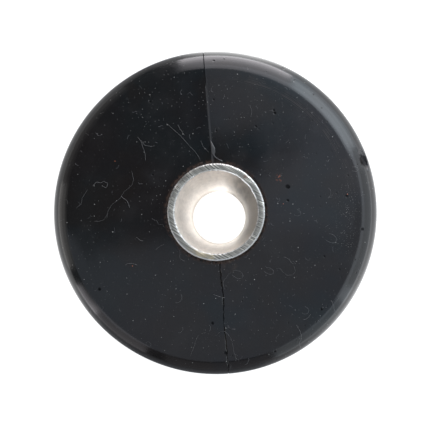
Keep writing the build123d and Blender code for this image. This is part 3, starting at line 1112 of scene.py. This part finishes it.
def bore_steel():
    """Inside and outside of the drawn tube: dull, pale and faintly streaked along its length, with one side
    painted darker as tarnish and painted shade, and painted shade towards the far end.
    """
    material, w, shader, place = new_finish("bore_steel")
    x, y, z = w.axes(place)
    streaks = w.cloud(place, 650.0, 3.0, stretch=(1.0, 1.0, 16.0))
    grain = w.cloud(place, 2600.0, 3.0)
    turn = w.calc("ARCTAN2", y, x)
    weld = w.ease(w.calc("ABSOLUTE", w.calc("SUBTRACT", turn, weld_angle)), 0.6, 0.1)
    dark = w.times(w.ease(streaks, 0.40, 0.66), w.calc("MULTIPLY_ADD", weld, 0.7, 0.15))
    mottle = w.ease(w.cloud(place, 1500.0, 4.0, stretch=(1.0, 1.0, 4.0)), 0.35, 0.65)
    pale = w.calc("MULTIPLY_ADD", mottle, 0.5, w.times(grain, 0.5))
    colour = w.tint(pale, (0.74, 0.655, 0.57, 1), (0.98, 0.89, 0.79, 1))
    # One side of the bore is painted darker: partly tarnish, partly painted shade.
    tarnish = w.facing(turn, tarnish_and_shade_angle, 0.25, 0.92)
    colour = w.coat(colour, tarnish, 0.85, (0.30, 0.28, 0.235, 1))
    # Darker towards the far end of the bore: painted shade.
    far_end = w.ease(z, 14 * MM, 0.0)
    colour = w.coat(colour, far_end, 0.5, (0.30, 0.27, 0.24, 1))
    colour = w.tint(dark, colour, (0.22, 0.20, 0.17, 1))
    w.feed(shader["Base Color"], colour)
    w.feed(shader["Metallic"], w.span(tarnish, 0.5, 0.24))
    dulled = w.calc("MULTIPLY_ADD", tarnish, 0.16, w.times(far_end, 0.3))
    w.feed(shader["Roughness"], w.calc("ADD", dulled, w.calc("MULTIPLY_ADD", grain, 0.2, 0.34)))
    raise_bump(w, shader, w.calc("ADD", grain, w.times(streaks, 0.6)), 0.012 * MM)
    return material


# ---- Finishes of what is inside ----


def turned_metal(name, light, dark, stain_colour, roughness, pitch, stained):
    """Lathe-turned metal with fine rings and a few blotches."""
    material, w, shader, place = new_finish(name)
    rings = w.use(turned_lines, {"Place": place, "Pitch": pitch, "Wander": 0.5})["Height"]
    blotch = blotches(w, place, 9.0, stained)
    colour = w.tint(w.ease(rings, 0.3, 0.75), dark, light)
    w.feed(shader["Base Color"], w.coat(colour, blotch, 0.6, stain_colour))
    shader["Metallic"].default_value = 1.0
    under = w.calc("MULTIPLY_ADD", rings, 0.12, roughness)
    w.feed(shader["Roughness"], w.calc("MULTIPLY_ADD", blotch, 0.22, under))
    raise_bump(w, shader, rings, 0.01 * MM)
    return material


def magnet_nickel():
    """Bright nickel plate over sintered magnet: smooth, with a faint orange-peel and small stains."""
    material, w, shader, place = new_finish("magnet_nickel")
    peel = w.cloud(place, 900.0, 2.0)
    blotch = blotches(w, place, 12.0, 0.25)
    nicks = scatter(w, place, 3.0, 0.12, 0.2)["Mask"]
    colour = w.tint(peel, (0.62, 0.60, 0.56, 1), (0.72, 0.70, 0.66, 1))
    colour = w.coat(colour, blotch, 0.4, (0.45, 0.41, 0.35, 1))
    w.feed(shader["Base Color"], w.tint(nicks, colour, (0.16, 0.15, 0.14, 1)))
    shader["Metallic"].default_value = 1.0
    w.feed(shader["Roughness"], w.calc("MULTIPLY_ADD", blotch, 0.2, w.calc("MULTIPLY_ADD", peel, 0.08, 0.12)))
    raise_bump(w, shader, w.calc("MULTIPLY_ADD", nicks, -2.0, peel), 0.006 * MM)
    return material


def natural_acetal():
    """Milky machined plastic with faint tool rings and handling marks."""
    material, w, shader, place = new_finish("natural_acetal")
    rings = w.use(turned_lines, {"Place": place, "Pitch": 0.25 * MM, "Wander": 0.6})["Height"]
    marks = blotches(w, place, 7.0, 0.2)
    colour = w.tint(rings, (0.78, 0.78, 0.75, 1), (0.85, 0.85, 0.83, 1))
    w.feed(shader["Base Color"], w.coat(colour, marks, 0.3, (0.55, 0.53, 0.48, 1)))
    w.feed(shader["Roughness"], w.calc("MULTIPLY_ADD", rings, 0.15, 0.38))
    raise_bump(w, shader, rings, 0.01 * MM)
    return material


def seal_rubber():
    """Nitrile with a trace of grease and a faint moulded grain."""
    material, w, shader, place = new_finish("seal_rubber")
    grease = blotches(w, place, 4.0, 0.5)
    grain = w.cloud(place, 3500.0, 3.0)
    w.feed(shader["Base Color"], w.tint(grain, (0.012, 0.012, 0.012, 1), (0.028, 0.027, 0.026, 1)))
    under = w.calc("MULTIPLY_ADD", grain, 0.1, 0.52)
    w.feed(shader["Roughness"], w.calc("MULTIPLY_ADD", grease, -0.3, under))
    raise_bump(w, shader, grain, 0.01 * MM)
    return material


def phosphated_steel():
    """Dark oiled phosphate coat with a crystalline grain, rubbed lighter in patches."""
    material, w, shader, place = new_finish("phosphated_steel")
    crystals = w.add("TexVoronoi", {}, {"Vector": place, "Scale": 5200.0}).outputs["Distance"]
    rubbed = blotches(w, place, 3.0, 0.3)
    colour = w.tint(crystals, (0.045, 0.046, 0.050, 1), (0.11, 0.11, 0.12, 1))
    w.feed(shader["Base Color"], w.coat(colour, rubbed, 0.5, (0.30, 0.30, 0.31, 1)))
    w.feed(shader["Metallic"], w.calc("MULTIPLY_ADD", rubbed, 0.4, 0.55))
    under = w.calc("MULTIPLY_ADD", crystals, 0.2, 0.5)
    w.feed(shader["Roughness"], w.calc("MULTIPLY_ADD", rubbed, -0.2, under))
    raise_bump(w, shader, crystals, 0.01 * MM)
    return material


inner_finishes = {
    "magnet_sleeve": natural_acetal(),
    "ring_magnet": magnet_nickel(),
    "o_ring": seal_rubber(),
    "disc_spring": phosphated_steel(),
    "circlip": phosphated_steel(),
}

# Lathe-turned metals: piece, name, light, dark, roughness, pitch in millimetres, share of stain, its colour
turned_finishes = [
    ("pole_ring", "pole_steel", (0.36, 0.36, 0.37), (0.24, 0.24, 0.25), 0.34, 0.18, 0.3, (0.16, 0.12, 0.09)),
    ("guard_band", "band_brass", (0.80, 0.60, 0.28), (0.66, 0.46, 0.19), 0.26, 0.15, 0.3, (0.36, 0.22, 0.10)),
    ("end_cap", "cap_aluminium", (0.82, 0.83, 0.84), (0.68, 0.69, 0.71), 0.30, 0.22, 0.2, (0.52, 0.52, 0.51)),
    ("washer", "washer_zinc", (0.68, 0.68, 0.67), (0.52, 0.53, 0.54), 0.38, 0.30, 0.4, (0.40, 0.40, 0.39)),
]
for word, name, light, dark, roughness, pitch, stained, stain_colour in turned_finishes:
    colours = [(*colour, 1) for colour in (light, dark, stain_colour)]
    inner_finishes[word] = turned_metal(name, *colours, roughness, pitch * MM, stained)


def finish_inner_pieces():
    """Gives each carried-over piece the finish that its name calls for."""
    for name, node in frame["nodes"].items():
        for word, material in inner_finishes.items():
            if word in name:
                node.data.materials.clear()
                node.data.materials.append(material)


# ---- The two modelled pieces, finished ----

jacket = build_jacket()
jacket.data.materials.append(jacket_rubber())

tube = build_tube()
tube.data.materials.append(bore_steel())
tube.data.materials.append(sawn_steel())
for face in tube.data.polygons:
    on_cut = min(tube_top - face.center.z, face.center.z - tube_bottom) < tube_outer_edge
    face.material_index = 1 if on_cut else 0

finish_inner_pieces()

# ---- Camera: close above the tube, a little off its axis ----

camera_height = 120 * MM  # above the tube's top end
camera_right = 1.75 * MM
camera_back = 2.93 * MM
lean_left = 0.01639
lean_forward = 0.0195
lens_view = 40.06  # degrees across


def make_camera():
    """The camera, looking nearly straight down."""
    data = bpy.data.cameras.new("camera")
    camera = bpy.data.objects.new("camera", data)
    bpy.context.scene.collection.objects.link(camera)
    data.angle = math.radians(lens_view)
    data.clip_start = 0.01
    ahead = (Vector((0, 0, -1)) - lean_left * view_right + lean_forward * view_up).normalized()
    right = ahead.cross(view_up).normalized()
    place = Vector((0, 0, tube_top + camera_height)) + camera_right * view_right - camera_back * view_up
    axes = Matrix((right, right.cross(ahead), -ahead)).transposed()
    camera.matrix_world = Matrix.Translation(place) @ axes.to_4x4()
    bpy.context.scene.camera = camera


# ---- Floor and light ----

sky_tint = (0.78, 0.86, 1.0)
window_tint = (1.0, 0.955, 1.0)
cool_tint = (0.85, 0.93, 1.0)
warm_tint = (1.0, 0.97, 0.94)
panel_distance = 0.42
ceiling = 0.27
reach = 0.32  # how far the level panels go to the sides and front
back_reach = 0.27


# How brightly the floor glows in each direction round the object, in degrees from the view's right
floor_glow = [
    (0, 0.9),
    (15, 0.8),
    (30, 0.65),
    (45, 0.55),
    (60, 0.6),
    (78, 2.4),
    (92, 2.2),
    (104, 0.3),
    (116, 0.02),
    (135, 0.35),
    (165, 0.5),
    (180, 0.65),
    (208, 0.9),
    (225, 0.15),
    (242, 0.02),
    (258, 0.02),
    (285, 0.05),
    (303, 0.5),
    (330, 1.5),
    (360, 0.9),
]


def make_floor():
    """A pale floor that the camera sees as even white, and that the rubber mirrors as lighter and darker."""
    begin()
    bpy.ops.mesh.primitive_plane_add(size=8.0, location=(0, 0, -0.05 * MM))
    floor = bpy.context.object
    floor.name = "floor"
    bpy.ops.object.mode_set(mode="EDIT")
    bpy.ops.mesh.subdivide(number_cuts=3)
    bpy.ops.object.mode_set(mode="OBJECT")
    material = bpy.data.materials.new("pale_floor")
    material.use_nodes = True
    nodes = material.node_tree.nodes
    nodes.clear()
    w = Wiring(material.node_tree)
    place = w.add("TexCoord").outputs["Object"]
    rightward = w.vectors("DOT_PRODUCT", place, tuple(view_right))["Value"]
    upward = w.vectors("DOT_PRODUCT", place, tuple(view_up))["Value"]
    turn = w.calc("DIVIDE", w.calc("ARCTAN2", upward, rightward), FULL_TURN)
    ramp = w.add("ValToRGB", {}, {0: w.calc("FRACT", w.calc("ADD", turn, 1.0))})
    stops = ramp.color_ramp.elements
    while len(stops) < len(floor_glow):
        stops.new(1.0)
    for stop, (degrees, level) in zip(stops, floor_glow):
        stop.position = degrees / 360
        stop.color = (level / 3, level / 3, level / 3, 1)
    distance = w.add("VectorMath", {"operation": "LENGTH"}, {0: place}).outputs["Value"]
    near = w.times(w.ease(distance, 0.08, 0.05), w.span(w.ease(rightward, -0.03, 0.03), 0.06, 1.1))
    glow = w.calc("MULTIPLY_ADD", ramp.outputs[0], 3.0, near)
    seen = w.add("LightPath").outputs["Is Camera Ray"]
    strength = w.calc("MULTIPLY_ADD", seen, w.calc("SUBTRACT", 0.95, glow), glow)
    emission = w.add("Emission", {}, {"Color": (1, 1, 1, 1), "Strength": strength})
    matt = w.add("BsdfDiffuse", {}, {"Color": (0.25, 0.25, 0.25, 1)})
    both = w.add("AddShader", {}, {0: emission.outputs[0], 1: matt.outputs[0]})
    output = w.add("OutputMaterial")
    w.feed(output.inputs["Surface"], both.outputs[0])
    floor.data.materials.append(material)


def make_backdrop():
    """White surroundings where the camera looks past the floor, and a dim room for everything else."""
    world = bpy.data.worlds.new("studio")
    world.use_nodes = True
    bpy.context.scene.world = world
    world.node_tree.nodes.clear()
    w = Wiring(world.node_tree)
    seen = w.add("LightPath").outputs["Is Camera Ray"]
    white = w.add("Background", {}, {"Color": (1, 1, 1, 1), "Strength": 1.0})
    dim = w.add("Background", {}, {"Color": (0.92, 0.95, 1.0, 1), "Strength": 0.08})
    chosen = w.add("MixShader", {}, {0: seen, 1: dim.outputs[0], 2: white.outputs[0]})
    output = w.add("OutputWorld")
    w.feed(output.inputs["Surface"], chosen.outputs[0])


def new_lamp(name, shape, size, energy):
    """An area light of a shape, size and energy, put into the scene."""
    data = bpy.data.lights.new(name, "AREA")
    data.shape = shape
    data.size = size
    data.energy = energy
    lamp = bpy.data.objects.new(name, data)
    bpy.context.scene.collection.objects.link(lamp)
    return lamp


def softbox(name, place, aim, size, brightness, colour):
    """A rectangular soft light at a place in the view's axes, facing another place."""
    light = new_lamp(name, "RECTANGLE", size[0], brightness * math.pi * size[0] * size[1])
    light.data.size_y = size[1]
    light.data.color = colour
    where, target = on_view(*place), on_view(*aim)
    light.location = where
    light.rotation_mode = "QUATERNION"
    light.rotation_quaternion = (target - where).to_track_quat("-Z", "Y")
    light.visible_camera = False


def overhead(name, left, right, front, back, brightness):
    """A level soft light over a span of the view."""
    middle = ((left + right) / 2, (front + back) / 2)
    size = (right - left, back - front)
    softbox(name, (*middle, ceiling), (*middle, 0), size, brightness, sky_tint)


def upright(name, bearing, width, bands, colour):
    """Soft lights stacked on the floor in one direction from the view's right, each a band of a height."""
    turn = math.radians(bearing)
    x, y = panel_distance * math.cos(turn), panel_distance * math.sin(turn)
    for number, (low, high, brightness) in enumerate(bands, 1):
        middle = (low + high) / 2
        softbox(f"{name}_{number}", (x, y, middle), (0, 0, middle), (width, high - low), brightness, colour)


# Steps that slope the front edge of the dark gap overhead: left side, front and back of each panel
slanted_edge = [
    (0.015, 0.032, 0.036),
    (0.021, 0.036, 0.040),
    (0.028, 0.040, 0.0435),
    (0.035, 0.0435, 0.0472),
    (0.042, 0.0472, 0.0525),
    (0.022, 0.0525, 0.0588),
]


# Level panels: name, left, right, front, back and brightness
level_panels = [
    ("panel_front", -reach, reach, -reach, -0.010, 0.46),
    ("panel_front_right", 0.02, reach, -0.20, -0.010, 0.12),
    ("panel_front_outer", -0.22, reach, -reach, -0.072, 0.42),
    ("panel_front_corner", 0.062, reach, -reach, -0.06, 0.7),
    ("panel_right_edge", 0.085, reach, -0.06, 0.02, 0.5),
    ("panel_right", 0.010, reach, 0.003, 0.032, 0.74),
]
for number, (left, front, back) in enumerate(slanted_edge, 1):
    level_panels.append((f"panel_right_step_{number}", left, reach, front, back, 0.84))
level_panels += [
    ("panel_behind", -0.020, 0.040, 0.0495, back_reach, 0.60),
    ("panel_behind_right", 0.040, reach, 0.059, back_reach, 0.78),
    ("panel_outer", 0.11, reach, -0.12, back_reach, 0.85),
]

# The two windows, as bands: low, high and brightness
window_bands = [
    (0, 0.08, 4.9),
    (0.08, 0.15, 5.2),
    (0.15, 0.23, 4.0),
    (0.23, 0.30, 3.0),
    (0.30, 0.36, 2.6),
    (0.36, 0.50, 2.3),
    (0.50, 0.66, 1.7),
]

right_window_bands = [(0, 0.08, 1.4), (0.08, 0.15, 2.7), (0.15, 0.48, 4.2), (0.48, 0.62, 2.6)]

# Upright panels: name, bearing, width, bands and tint
upright_panels = [
    ("window_behind", 83, 0.325, window_bands, window_tint),
    ("window_right", 44, 0.26, right_window_bands, cool_tint),
    ("right_corner", 22.5, 0.064, [(0, 0.10, 1.1), (0.10, 0.48, 1.7)], cool_tint),
    ("right_panel", -8, 0.42, [(0, 0.48, 1.25)], cool_tint),
    ("front_right_panel", -48, 0.30, [(0, 0.34, 0.9)], cool_tint),
    ("front_panel", -90, 0.30, [(0, 0.28, 0.18)], window_tint),
    ("front_left_panel", -131, 0.20, [(0, 0.34, 0.7)], window_tint),
    ("front_left_near", -147, 0.09, [(0, 0.16, 1.8), (0.16, 0.24, 1.2), (0.24, 0.30, 0.5)], window_tint),
    ("left_panel", -176, 0.24, [(0, 0.15, 1.15), (0.15, 0.28, 0.75), (0.28, 0.36, 0.3)], warm_tint),
    ("left_back_panel", 147, 0.32, [(0, 0.20, 0.30), (0.20, 0.32, 0.12)], warm_tint),
]


def make_lights():
    """Soft lights: level panels overhead, tall windows behind and to the right, and weaker ones around."""
    for panel in level_panels:
        overhead(*panel)
    for panel in upright_panels:
        upright(*panel)


bore_brightness = 1.07


def make_bore_light():
    """The lit table under the open bore."""
    energy = bore_brightness * math.pi * math.pi * bore_radius**2
    light = new_lamp("bore_light", "DISK", 2 * bore_radius, energy)
    light.location = (0, 0, 0.02 * MM)
    light.rotation_euler = (math.pi, 0, 0)


make_camera()
make_floor()
make_backdrop()
make_lights()
make_bore_light()
bpy.context.scene.view_settings.view_transform = "Standard"
